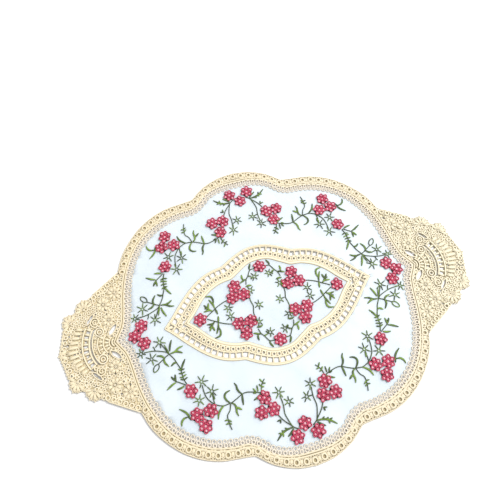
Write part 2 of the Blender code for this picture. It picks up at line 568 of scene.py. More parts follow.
class Needlework:
    """Threads that are worked into one mesh."""

    def __init__(self, name: str, seed: int) -> None:
        """Start the work.

        Args:
            name: The finished piece's name.
            seed: Seed of the small unevenness from thread to thread.
        """
        self.name = name
        self.chance = np.random.default_rng(seed)
        self.patches: list[Patch] = []
        self.tones: list[np.ndarray] = []

    def add(self, patch: Patch, copies: int = 1, crown: float = 1.0, tone: float = 0.0) -> None:
        """Take in a patch, with its crown lowered to paint more shade on it, and each of its copies in a tone
        of its own.
        """
        tones = self.chance.uniform(-1, 1, copies) + tone
        patch.crown = patch.crown * crown
        self.patches.append(patch)
        self.tones.append(np.repeat(tones, len(patch.points) // copies))

    def cord(
        self,
        path: np.ndarray,
        width: float,
        height: float,
        base: float,
        closed: bool = False,
        taper: np.ndarray | None = None,
        sides: int = 6,
        crown: float = 1.0,
        tone: float = 0.0,
    ) -> None:
        """Work a cord along a path."""
        share = np.ones(len(path)) if taper is None else taper
        self.add(swept(path, width, height, base, closed, share, sides), crown=crown, tone=tone)

    def round_cord(
        self, loop: np.ndarray, pitch: float, width: float, height: float, base: float, sides: int = 6
    ) -> None:
        """Work a cord all round a loop, alike in its quarters."""
        self.cord(evenly(loop, pitch, fourths=True)[0], width, height, base, closed=True, sides=sides)

    def rings(
        self,
        shape: Ring | Pad,
        spots: np.ndarray,
        base: float,
        jitter: float = 0.06,
        turns: np.ndarray | None = None,
        crown: float = 1.0,
    ) -> None:
        """Work a ring at many places, each a little off its size, turned any way unless turns are given."""
        if len(spots) == 0:
            return
        if turns is None:
            turns = self.chance.uniform(0, math.tau, len(spots))
        sizes = self.chance.uniform(1 - jitter, 1 + jitter, len(spots)) if jitter else 1.0
        self.add(shape.patch().placed(spots, turns, base, sizes), len(spots), crown)

    def pads(self, pad: Pad, spots: np.ndarray, base: float, crown: float = 1.0) -> None:
        """Work the same pad at many places, all of one size."""
        self.rings(pad, spots, base, 0.0, crown=crown)

    def finish(self, material: bpy.types.Material) -> bpy.types.Object:
        """Make the mesh, lay it in the cloth's waves, and dress it.

        Args:
            material: What it is worked in.

        Returns:
            The piece, at the origin, with its place in its mesh.
        """
        points, sides, uv, crown = (
            np.concatenate([getattr(patch, part) for patch in self.patches])
            for part in ("points", "sides", "uv", "crown")
        )
        starts = np.cumsum([0] + [len(patch.points) for patch in self.patches[:-1]])
        corners = np.concatenate([patch.corners + start for patch, start in zip(self.patches, starts)])
        points[:, 2] += waves(points[:, 0], points[:, 1])
        mesh = bpy.data.meshes.new(self.name)
        mesh.vertices.add(len(points))
        mesh.vertices.foreach_set("co", (points * MM).ravel())
        mesh.loops.add(len(corners))
        mesh.loops.foreach_set("vertex_index", corners.astype(np.int32))
        mesh.polygons.add(len(sides))
        mesh.polygons.foreach_set("loop_start", (np.cumsum(sides) - sides).astype(np.int32))
        mesh.polygons.foreach_set("use_smooth", np.ones(len(sides), bool))
        mesh.update(calc_edges=True)
        layer = mesh.uv_layers.new(name=THREAD_UV)
        layer.data.foreach_set("uv", uv.ravel().astype(np.float32))
        for name, values in (("crown", crown), ("tone", np.concatenate(self.tones))):
            mesh.attributes.new(name, "FLOAT", "POINT").data.foreach_set("value", values.astype(np.float32))
        mesh.materials.append(material)
        piece = bpy.data.objects.new(self.name, mesh)
        bpy.context.scene.collection.objects.link(piece)
        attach(piece, "root")
        LOG.info("%s: %d triangles", self.name, int((sides - 2).sum()))
        return piece


def area_of(*loops: np.ndarray) -> float:
    """Flat area in square metres inside the first outline and outside the others."""
    areas = []
    for loop in loops:
        after = np.roll(loop, -1, 0)
        areas.append(abs((loop[:, 0] * after[:, 1] - loop[:, 1] * after[:, 0]).sum()) / 2)
    return (areas[0] - sum(areas[1:])) * MM * MM


def length_of(loop: np.ndarray) -> float:
    """Length in metres round a closed path."""
    return float(np.linalg.norm(loop - np.roll(loop, -1, 0), axis=1).sum()) * MM


# --------------------------------------------------------------------------- lace


@dataclass
class BorderBand:
    """The scalloped guipure border: a row of big rings, twin smooth cords, and a row each of rings and loops.

    Depths are distances outwards from the band's inner outline, except the big rings', inwards from its edge.
    """

    loop_ring: Ring = Ring(1.8, 0.95, 0.9, 13, 5)
    loop_depth: float = 2.6
    small_ring: Ring = Ring(1.6, 1.2, 1.1, 12, 6)
    small_depth: float = 5.7
    row_pitch: float = 4.95
    cord_depths: tuple[float, ...] = (8.1, 10.15)
    cord_width: float = 2.0
    cord_height: float = 1.5
    big_ring: Ring = Ring(2.15, 1.85, 1.7, 18, 8, 1.12)
    big_depth: float = 4.6
    big_pitch: float = 8.7
    # Pads sunk in the holes of the big rings and beads, in the deep colour as painted shade seen through the
    # holes.
    shaded_web: Pad = Pad(2.4, 0.3)
    bead: Ring = Ring(1.12, 0.95, 1.2, 10, 6)
    bead_shaded_web: Pad = Pad(1.1, 0.25, 6)
    # How light the sunk pads of painted shade are, from 0 for the deep colour to 1 for the highlight's.
    shaded_web_crown: float = 0.34
    bead_shaded_web_crown: float = 0.36
    edge_depth: float = 0.6
    edge_width: float = 1.2
    bar_width: float = 4.4
    # The upper and lower beads between two big rings: how far out, and how far to each side of the middle.
    bead_places: tuple[Spot, ...] = ((2.75, 1.45), (-3.3, 1.5))
    # The row stops where a wing covers the edge: its rings above one y, its beads and bars above the other.
    ring_limit: float = 66.0
    bead_limit: float = 68.0
    base: float = 0.15

    def big_row(self, work: Needlework) -> None:
        """Work the big rings and the beads between them, with dark pads in their holes as painted shade,
        along the part of the edge that no wing covers.
        """
        row = shifted(open_path(BAND_OUTER[:2]), -self.big_depth)
        spots, turns = evenly(row, self.big_pitch, closed=False)
        out = np.stack([-np.sin(turns), np.cos(turns)], 1)
        middles, aside = (spots[1:] + spots[:-1]) / 2, (out[1:] + out[:-1]) / 2
        along = np.stack([aside[:, 1], -aside[:, 0]], 1)
        steps = [(up, way * step) for up, step in self.bead_places for way in (-1, 1)]
        beads = [middles + up * aside + step * along for up, step in steps]
        for across, up in QUARTERS:
            kept = spots[:, 1] > self.ring_limit
            if across < 0:
                kept[0] = False
            turned = mirrored_turns(turns[kept], across, up)
            work.rings(self.big_ring, mirrored(spots[kept], across, up), self.base, 0.03, turned)
            work.pads(self.shaded_web, mirrored(spots[kept], across, up), self.base, self.shaded_web_crown)
            for row_of_beads in beads:
                free = row_of_beads[row_of_beads[:, 1] > self.bead_limit]
                work.rings(self.bead, mirrored(free, across, up), self.base)
                work.pads(self.bead_shaded_web, mirrored(free, across, up), self.base, self.bead_shaded_web_crown)
            for middle, way in zip(middles, aside):
                if middle[1] > self.bead_limit:
                    bar = np.stack([middle + step * way for step in (-2.1, -0.7, 0.6, 1.7)])
                    taper = np.array([0.7, 1, 1, 0.7])
                    work.cord(mirrored(bar, across, up), self.bar_width, 1.1, self.base, taper=taper)

    def build(self, finish: bpy.types.Material, pale: bpy.types.Material) -> list[bpy.types.Object]:
        """Work the band.

        Args:
            finish: The deep cream thread.
            pale: The ivory thread of the inner loops.

        Returns:
            The band's heavy lace, and its inner loops.
        """
        inner = whole_loop(BAND_INNER)
        work = Needlework("border_lace", seed=1)
        for depth in self.cord_depths:
            work.round_cord(grown(inner, depth), 2.2, self.cord_width, self.cord_height, self.base)
        self.big_row(work)
        free_edge = open_path(BAND_OUTER[:2])
        line, _ = evenly(shifted(free_edge, -self.edge_depth), 1.6, closed=False)
        for across, up in QUARTERS:
            work.cord(mirrored(line, across, up), self.edge_width, self.edge_width, self.base)
        loops = Needlework("border_loops", seed=2)
        rows = ((self.small_ring, self.small_depth, 0.6), (self.loop_ring, self.loop_depth, 0.9))
        for ring, depth, base in rows:
            spots, turns = evenly(grown(inner, depth), self.row_pitch, fourths=True)
            loops.rings(ring, spots, base, 0.04, turns)
        return [work.finish(finish), loops.finish(pale)]


@dataclass
class AlmondBand:
    """The almond-shaped guipure insert: an edge cord, a ladder of windows, a row of rings and a broad cord.

    Depths are distances from the insert's outer outline inwards.
    """

    edge_width: float = 2.9
    ladder_end: float = 7.3
    ladder_pitch: float = 6.0
    rung_width: float = 1.6
    rail_width: float = 1.6
    ring: Ring = Ring(1.7, 1.5, 1.5, 14, 7, 1.12)
    ring_pitch: float = 5.0
    bead: Ring = Ring(0.8, 0.9, 1.1, 9, 5)
    base: float = 0.15

    def build(self, finish: bpy.types.Material) -> bpy.types.Object:
        """Work the insert in its thread."""
        outer, inner = whole_loop(ALMOND_OUTER), whole_loop(ALMOND_INNER)
        work = Needlework("almond_lace", seed=3)
        rail_depth = self.ladder_end + self.rail_width / 2
        for depth, width, height in ((1.0, 2.0, 1.6), (2.3, 1.3, 1.3), (rail_depth, self.rail_width, 1.5)):
            work.round_cord(grown(outer, -depth), 2.0, width, height, self.base)
        middle = (self.edge_width + self.ladder_end) / 2
        rungs, headings = evenly(grown(outer, -middle), self.ladder_pitch, fourths=True)
        corner = rungs[:, 0].max()
        for across in (-1, 1):
            stretch = np.array([(across * (corner + step), 0.0) for step in (-3.2, 0, 3.2)])
            work.cord(stretch, 3.4, 1.1, self.base, taper=np.array([1, 0.9, 0.4]))
        reach = self.ladder_end - self.edge_width + 1
        for spot, heading in zip(rungs, headings):
            if abs(spot[0]) > corner - 3.5:
                continue
            out = np.array([-math.sin(heading), math.cos(heading)]) * reach / 2
            work.cord(np.stack([spot - out, spot, spot + out]), self.rung_width, 1.1, self.base)
        for depth, width, height in ((1.5, 3.0, 1.6), (3.5, 1.5, 1.3)):
            work.round_cord(grown(inner, depth), 2.0, width, height, self.base, sides=8)
        row = self.between(grown(inner, 4.0), grown(outer, -(self.ladder_end + self.rail_width)), 0.48)
        spots, turns = evenly(row, self.ring_pitch, fourths=True)
        work.rings(self.ring, spots, self.base, 0.03, turns)
        middles = (spots + np.roll(spots, -1, 0)) / 2
        out = np.stack([-np.sin(turns), np.cos(turns)], 1)
        for step in (-1.6, 1.6):
            work.rings(self.bead, middles + step * out, self.base)
        return work.finish(finish)

    @staticmethod
    def between(first: np.ndarray, second: np.ndarray, share: float) -> np.ndarray:
        """A loop part of the way from one loop to another, spoke by spoke from the middle."""
        angles = np.linspace(math.pi, -math.pi, 240, endpoint=False)
        reaches = []
        for loop in (first, second):
            turn = np.arctan2(loop[:, 1], loop[:, 0])
            order = np.argsort(turn)
            reaches.append(np.interp(angles, turn[order], np.hypot(*loop.T)[order], period=math.tau))
        reach = reaches[0] * (1 - share) + reaches[1] * share
        return np.stack([reach * np.cos(angles), reach * np.sin(angles)], 1)


@dataclass(frozen=True)
class Petal:
    """A long loop of cord, from its root to its tip, in plan."""

    root: Spot
    tip: Spot
    width: float

    def path(self, points: int = 14) -> np.ndarray:
        """The loop's closed path, widest past its middle."""
        turn = math.tau * np.arange(points) / points
        root, tip = np.array(self.root, float), np.array(self.tip, float)
        along = tip - root
        across = np.array([-along[1], along[0]]) / np.linalg.norm(along)
        share = (1 - np.cos(turn)) / 2
        spread = self.width / 2 * np.sin(turn) * (0.62 + 0.5 * share)
        return root + share[:, None] * along + spread[:, None] * across

    def rib(self) -> np.ndarray:
        """Five points along the loop's middle."""
        return np.linspace(self.root, self.tip, 7)[1:-1]


def polar(centre: Spot, radius: float, degrees: float) -> Spot:
    """A place at a distance and a direction from another."""
    angle = math.radians(degrees)
    return centre[0] + radius * math.cos(angle), centre[1] + radius * math.sin(angle)


def arc(centre: Spot, radius: float, first: float, last: float, step: float = 1.6) -> np.ndarray:
    """Points along an arc, from one direction to another in degrees."""
    count = max(3, round(abs(math.radians(last - first)) * radius / step) + 1)
    return np.array([polar(centre, radius, a) for a in np.linspace(first, last, count)])


@dataclass
class Wing:
    """A guipure wing: daisies, scrolls and a fan on a ground of small rings, with leafy scallops at its edge.

    Places are those of the right wing's upper half.
    """

    side: Side
    seam_depth: float = 12.6
    edge_inset: float = 0.7
    big_ring: Ring = Ring(2.0, 1.6, 1.6, 16, 7)
    ground_ring: Ring = Ring(1.5, 1.35, 1.15, 11, 6)
    ground_pitch: float = 4.2
    # The wing's ground of flat webs, its crown lowered so that it takes in part the deep colour as painted
    # shade of small holes.
    shaded_web: Pad = Pad(1.75, 0.22, 6)
    web_pitch: float = 2.5
    shaded_web_crown: float = 0.63
    web_step: float = 0.09
    # Share of the webs left out, where the lace is open.
    open_share: float = 0.12
    picot: Ring = Ring(1.05, 0.95, 1.1, 10, 6)
    daisy_heart: Ring = Ring(0.8, 1.1, 1.8, 9, 6)
    scallop_heart: Ring = Ring(0.8, 1.1, 1.7, 9, 6)
    edge_bead: Ring = Ring(0.8, 0.95, 1.2, 9, 5)
    tip_ring: Ring = Ring(1.75, 1.5, 1.4, 13, 6)
    bar_width: float = 2.4
    petal_cord: float = 0.85
    # Steps between the places that keep the ground off a line.
    fine: float = 0.8
    daisies: tuple[tuple[Spot, float], ...] = (((148, 48.6), 8.3), ((160.8, 39.2), 8.3), ((157.7, 23), 7.4))
    scallops: tuple[tuple[Spot, float, float, float], ...] = (
        ((180, 38.8), 1.7, -12, 152),
        ((194.3, 28), 1.7, -38, 118),
    )
    inner_fan: Spot = (154, 0)
    outer_fan: Spot = (148.2, 0)
    leaf_gap: tuple[Spot, float, float, float] = ((155.6, 12.2), 11.5, 3.2, -45)
    slot: tuple[Spot, float, float, float] = ((175.6, 27.4), 10.5, 1.8, -48)
    # Two radii and the half height of the curved gap, and of the ladder, about the outer fan's centre.
    curved_gap: tuple[float, float, float] = (28.7, 30.7, 17)
    ladder: tuple[float, float, float] = (32.5, 37, 19)
    # The x at which rows of the ground start and end, before they are cut to the wing's shape.
    span: Spot = (136, 208)
    base: float = 0.15
    # Motifs are worked over the ground.
    motif_base: float = 0.5

    def __post_init__(self) -> None:
        """Start the work, with nothing in the ground's way yet."""
        side = self.side.name.lower()
        self.work = Needlework(f"wing_lace_{side}", seed=20 + self.side.value)
        self.cloth = Needlework(f"wing_ground_{side}", seed=30 + self.side.value)
        self.taken: list[np.ndarray] = []
        self.edge = open_path(WING_EDGE)

    def keep_off(self, places: np.ndarray, radius: float) -> None:
        """Keep the ground's rings a radius away from places."""
        self.taken.append(np.column_stack([places, np.full(len(places), radius)]))

    def lay(self, path: np.ndarray, width: float, height: float, closed: bool = False) -> None:
        """Work a cord in both halves, and keep the ground off it."""
        for up in (1, -1):
            self.work.cord(mirrored(path, self.side.value, up), width, height, self.motif_base, closed)
        self.keep_off(evenly(path, self.fine, closed=closed)[0], width / 2)

    def stamp(self, ring: Ring, spots: np.ndarray, jitter: float = 0.04) -> None:
        """Work rings in both halves, and keep the ground off them."""
        spots = np.asarray(spots, float).reshape(-1, 2)
        for up in (1, -1):
            kept = spots if up > 0 else spots[np.abs(spots[:, 1]) > 0.3]
            self.work.rings(ring, mirrored(kept, self.side.value, up), self.base, jitter)
        self.keep_off(spots, ring.radius + ring.width / 2)

    def petal(self, petal: Petal, width: float = petal_cord) -> None:
        """Work a petal in both halves, and keep the ground off it."""
        for up in (1, -1):
            self.one_petal(petal, width, up)
        self.keep_off(evenly(petal.path(), self.fine)[0], width / 2)
        self.keep_off(petal.rib(), petal.width * 0.4)

    def one_petal(self, petal: Petal, width: float, up: int) -> None:
        """Work a thin loop of cord with a plump filling, a crease lower than the loop."""
        loop, rib = (mirrored(line, self.side.value, up) for line in (petal.path(), petal.rib()))
        self.work.cord(loop, width, 1.3, self.motif_base, closed=True)
        taper = np.array([0.5, 0.9, 1, 0.95, 0.5])
        self.work.cord(rib, petal.width * 0.88, 1.25, self.motif_base, taper=taper)

    def daisy(self, centre: Spot, radius: float) -> None:
        """Work a daisy of eight petals round a ring."""
        for angle in range(12, 372, 45):
            self.petal(Petal(polar(centre, 1.9, angle), polar(centre, radius - 0.6, angle), 2.7))
        self.stamp(self.daisy_heart, np.array([centre]))

    def border(self) -> None:
        """Work the edge cord, the rings along the straight edge, and the small loops along the scallops."""
        for run in (WING_EDGE[0], WING_EDGE[3]):
            line, _ = evenly(shifted(open_path([run]), -self.edge_inset), 1.6, closed=False)
            self.lay(line, 1.2, 1.2)
        straight = np.array([(143.8, 64), (169, 48.8)])
        spots, _ = evenly(straight, 5.9, closed=False)
        self.stamp(self.big_ring, spots)
        middles = (spots[1:] + spots[:-1]) / 2
        for step in (2.4, -2.6):
            self.stamp(self.edge_bead, middles + step * np.array([0.5, 0.866]))
        blunt = open_path([WING_EDGE[3]])
        spots, _ = evenly(shifted(blunt, -0.4), 3.4, closed=False)
        self.stamp(self.picot, spots)

    def scallop(self, centre: Spot, inner: float, first: float, last: float) -> None:
        """Work a part of a daisy whose petals stand out past the edge, with a small loop between each two."""
        heart = np.array(centre, float)
        out = self.edge - heart
        turns, reaches = np.degrees(np.arctan2(out[:, 1], out[:, 0])), np.hypot(*out.T)
        order = np.argsort(turns)
        angles = np.linspace(first, last, 6)
        lengths = np.minimum(np.interp(angles, turns[order], reaches[order]) + 0.2, 10.5)
        for angle, reach in zip(angles, lengths):
            self.petal(Petal(polar(centre, inner, angle), polar(centre, reach, angle), 2.3), 0.8)
        between = (angles[1:] + angles[:-1]) / 2
        reach = np.minimum(lengths[1:], lengths[:-1]) - 1.6
        self.stamp(self.picot, np.array([polar(centre, r, a) for r, a in zip(reach, between)]))
        self.stamp(self.scallop_heart, np.array([centre]))

    def scrolls(self) -> None:
        """Work the two scrolls and the cords round the open gaps."""
        for radius, width in ((4.1, 1.6), (1.9, 1.5)):
            self.stamp(Ring(radius, width, 1.9, 20, 6), np.array([(168.2, 13.2)]))
        turn = np.linspace(0, 1, 34)
        spiral = [polar((170.8, 23.9), 4.9 - 3.6 * t, -60 + 560 * t) for t in turn]
        self.lay(np.array(spiral), 1.6, 1.7)
        for centre, length, width, slope in (self.leaf_gap, self.slot):
            self.lay(self.leaf(centre, length + 2.2, width + 2.2, slope), 1.3, 1.4, closed=True)

    @staticmethod
    def leaf(centre: Spot, length: float, width: float, slope: float) -> np.ndarray:
        """A pointed oval path about a centre."""
        turn = math.tau * np.arange(20) / 20
        u, v = length / 2 * np.cos(turn), width / 2 * np.sin(turn) * np.abs(np.sin(turn)) ** 0.3
        cos, sin = math.cos(math.radians(slope)), math.sin(math.radians(slope))
        return np.stack([centre[0] + u * cos - v * sin, centre[1] + u * sin + v * cos], 1)

    def fan_rows(self) -> None:
        """Work the two fans at the middle: arcs, their radial bars, a gap, and petals that run to the tip."""
        inner = ((3.9, 62, 2.0), (6.5, 60, 1.6), (12.2, 44, 1.7), (17.6, 27, 1.6))
        outer = ((28.3, 34, 1.6), (31.3, 33, 2.0), (38.0, 32, 2.0))
        for centre, arcs in ((self.inner_fan, inner), (self.outer_fan, outer)):
            for radius, spread, width in arcs:
                both = arc(centre, radius, -spread, spread)
                self.work.cord(mirrored(both, self.side.value, 1), width, 1.5, self.motif_base)
                self.keep_off(both, width / 2)
        bars = ((self.inner_fan, 6.5, 12.2, 48, 6), (self.inner_fan, 12.2, 17.6, 29, 5))
        for centre, near, far, spread, count in (*bars, (self.outer_fan, 31.3, 38, 31, 9)):
            for angle in np.linspace(-spread, spread, count):
                bar = np.array([polar(centre, r, angle) for r in (near, (near + far) / 2, far)])
                self.work.cord(mirrored(bar, self.side.value, 1), self.bar_width, 1.2, self.base)
                self.keep_off(bar, self.bar_width)
        for angle in np.linspace(-29, 29, 11):
            reach = 55.2 - 0.24 * abs(angle)
            petal = Petal(polar(self.outer_fan, 39.3, angle), polar(self.outer_fan, reach, angle * 0.94), 2.7)
            self.one_petal(petal, self.petal_cord, 1)
            self.keep_off(evenly(petal.path(), self.fine)[0], 0.9)

    def tip(self) -> None:
        """Work the rings along the blunt end and the two leaves that meet at its point."""
        line = shifted(open_path([WING_EDGE[3]]), -3.6)
        spots, _ = evenly(line[: int(len(line) * 0.78)], 5.2, closed=False)
        self.stamp(self.tip_ring, spots)
        self.petal(Petal((200, 3.4), (207.6, 1.4), 2.6))

    def honeycomb(self, seam: np.ndarray, pitch: float, ends: Spot, gaps: Sequence[float]) -> np.ndarray:
        """Places of a honeycomb over the upper half of the wing.

        Args:
            seam: The line where the wing starts.
            pitch: How far apart the places are.
            ends: The first row's y in pitches, and the y that no row reaches.
            gaps: How far the places keep from the seam, below the edge, and inside it.
        """
        from_seam, below, inside = gaps
        rows = []
        for row, y in enumerate(np.arange(pitch * ends[0], ends[1], pitch * ROW_STEP)):
            xs = np.arange(self.span[0] + (row % 2) * pitch / 2, self.span[1], pitch)
            start = np.interp(y, seam[:, 1], seam[:, 0])
            by_x = np.interp(xs, self.edge[:, 0], self.edge[:, 1])
            by_y = np.interp(y, self.edge[::-1, 1], self.edge[::-1, 0])
            kept = xs[(xs > start + from_seam) & (y < by_x - below) & (xs < by_y - inside)]
            rows.append(np.column_stack([kept, np.full(len(kept), y)]))
        return np.vstack(rows)

    def ground(self) -> None:
        """Fill what is left with small rings: a row along the seam, one inside the edge, and a honeycomb."""
        seam = grown(whole_loop(BAND_INNER), self.seam_depth)
        seam = seam[(seam[:, 0] > 100) & (seam[:, 1] >= 0) & (seam[:, 1] < 66)]
        seam = seam[np.argsort(seam[:, 1])]
        rim = shifted(open_path(WING_EDGE[1:]), -3.0)
        rows = [evenly(line, self.ground_pitch, closed=False)[0] for line in (seam, rim[rim[:, 1] >= 0])]
        reach = self.ground_ring.radius + self.ground_ring.width / 2
        gaps = (reach, reach + 2.2, reach + 2.0)
        spots = np.vstack([*rows, self.honeycomb(seam, self.ground_pitch, (0.43, 66), gaps)])
        blocks = np.vstack(self.taken)
        away = np.linalg.norm(spots[:, None] - blocks[None, :, :2], axis=2) - blocks[None, :, 2]
        free = self.closed(spots, 1.2) & (away.min(1) > -0.1)
        spots = spots[free] + self.work.chance.uniform(-0.4, 0.4, (int(free.sum()), 2))
        for up in (1, -1):
            kept = spots if up > 0 else spots[spots[:, 1] > 0.3]
            self.work.rings(self.ground_ring, mirrored(kept, self.side.value, up), self.base, 0.12)
        self.webs(seam)

    def closed(self, spots: np.ndarray, margin: float) -> np.ndarray:
        """Which places stay clear of the open gaps by a margin."""
        free = np.ones(len(spots), bool)
        for centre, length, width, slope in (self.leaf_gap, self.slot):
            cos, sin = math.cos(math.radians(slope)), math.sin(math.radians(slope))
            x, y = (spots - centre).T
            u, v = x * cos + y * sin, y * cos - x * sin
            free &= (u / (length / 2 + margin)) ** 2 + (v / (width / 2 + margin)) ** 2 > 1
        return free & ~self.in_arc(spots, self.curved_gap, margin)

    def in_arc(self, spots: np.ndarray, part: tuple[float, float, float], margin: float = 0.0) -> np.ndarray:
        """Which places are in a curved part of the fan, or within a margin of its radii."""
        near, far, half_height = part
        radial = np.hypot(*(spots - self.outer_fan).T)
        return (radial > near - margin) & (radial < far + margin) & (np.abs(spots[:, 1]) < half_height)

    def webs(self, seam: np.ndarray) -> None:
        """Back the wing with small flat webs of thread, in three thin layers, except at the open gaps; their
        lowered crown darkens them with painted shade of small holes.
        """
        spots = self.honeycomb(seam, self.web_pitch, (0.433, 69), (-1, 2.4, 2.4))
        spots = spots[self.closed(spots, 1.5) & ~self.in_arc(spots, self.ladder)]
        for up in (1, -1):
            worked = spots[self.cloth.chance.uniform(0, 1, len(spots)) > self.open_share]
            for layer in range(3):
                some = mirrored(worked[layer::3], self.side.value, up)
                self.cloth.pads(self.shaded_web, some, self.base + self.web_step * layer, self.shaded_web_crown)

    def build(self, finish: bpy.types.Material) -> list[bpy.types.Object]:
        """Work the wing in its thread.

        Args:
            finish: The cream thread.

        Returns:
            The flat webs of the wing's ground, and the raised stitching over them.
        """
        self.border()
        for centre, radius in self.daisies:
            self.daisy(centre, radius)
        for shape in self.scallops:
            self.scallop(*shape)
        self.scrolls()
        self.fan_rows()
        self.tip()
        self.ground()
        return [self.cloth.finish(finish), self.work.finish(finish)]


# --------------------------------------------------------------------------- embroidery


def copies(spots: Iterable[Spot]) -> list[Spot]:
    """All the different mirror images of some places, in the four quarters."""
    found = {(across * x + 0.0, up * y + 0.0) for x, y in spots for across, up in QUARTERS}
    return sorted(found)


@dataclass
class BerrySprays:
    """Berries in raised stitch: six loops round one on a padded base, in threes on the ground."""

    field_berries: tuple[Spot, ...] = (
        (93.7, 62.5), (80, 83.5), (92.8, 84), (87.3, 95), (29.3, 85.3), (24, 96.7), (35.5, 97), (0, 115.4),
        (9.7, 124.6), (135.4, 0), (127.5, 8.5),
    )
    middle_berries: tuple[Spot, ...] = ((34.6, 13.3), (23, 13.6), (29.9, 24), (70.7, 0), (0, 38.1))
    ring: Ring = Ring(1.68, 0.85, 1.4, 13, 6, 1.18)
    ring_reach: float = 4.4
    # The padding is real thread; its near-black colour is painted shade in the gaps between the loops.
    under: Pad = Pad(5.7, 0.6, 18)
    heart: Pad = Pad(1.35, 0.5)
    level: float = 0.85

    def build(
        self, red: bpy.types.Material, dark: bpy.types.Material, pink: bpy.types.Material
    ) -> list[bpy.types.Object]:
        """Work the berries.

        Args:
            red: Thread of the loops.
            dark: Thread of the padding under them, its near-black colour painted shade between the loops.
            pink: The sheer ground stained by thread behind it, inside the loops.

        Returns:
            The loops, the pads and the dots.
        """
        centres = np.array(copies(self.field_berries + self.middle_berries))
        names = ("berries", "berry_pads", "berry_hearts")
        loops, pads, dots = (Needlework(name, seed) for name, seed in zip(names, (5, 6, 7)))
        chance = np.random.default_rng(8)
        spots, turns = [], []
        for centre, turn in zip(centres, chance.uniform(0, 60, len(centres))):
            for k in range(6):
                angle = turn + 60 * k + chance.uniform(-7, 7)
                spots.append(polar(tuple(centre), self.ring_reach * chance.uniform(0.93, 1.06), angle))
                turns.append(math.radians(angle - 90 + chance.uniform(-25, 25)))
            spots.append(tuple(centre))
            turns.append(chance.uniform(0, 3))
        spots, turns = np.array(spots), np.array(turns)
        loops.rings(self.ring, spots, self.level + 0.35, 0.1, turns)
        pads.pads(self.under, centres, self.level)
        dots.pads(self.heart, spots + chance.uniform(-0.25, 0.25, spots.shape), self.level + 0.4)
        return [loops.finish(red), pads.finish(dark), dots.finish(pink)]


